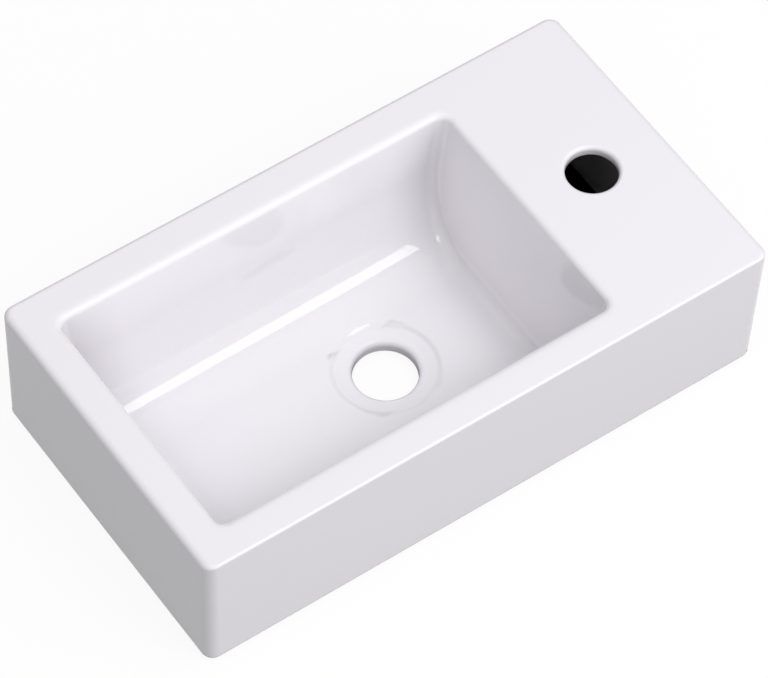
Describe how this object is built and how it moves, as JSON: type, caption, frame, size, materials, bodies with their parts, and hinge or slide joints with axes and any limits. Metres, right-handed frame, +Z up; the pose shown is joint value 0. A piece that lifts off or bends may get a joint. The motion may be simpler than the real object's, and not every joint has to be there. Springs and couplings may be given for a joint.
{
  "type": "wall hung basin",
  "caption": "Small rectangular wall hung hand basin in white glazed ceramic, with a deep box bowl, a tap deck at its right end, and studs, bushes, washers and nuts that hold it to a wall.",
  "frame": {"origin": "on the wall plane, midway along the basin's length and level with the two fixing studs", "axes": "+X along the wall towards the tap end, +Y into the wall, -Y out into the room, +Z up"},
  "size_m": [0.455, 0.28, 0.115],
  "materials": {
    "glaze": "gloss",
    "zinc_plate": "bright zinc plate",
    "nylon": "natural nylon"
  },
  "bodies": {
    "root": {"basin": "glaze", "left_stud": "zinc_plate", "right_stud": "zinc_plate", "left_collar_bush": "nylon", "right_collar_bush": "nylon", "left_washer": "zinc_plate", "right_washer": "zinc_plate", "left_nut": "zinc_plate", "right_nut": "zinc_plate"}
  },
  "joints": []
}
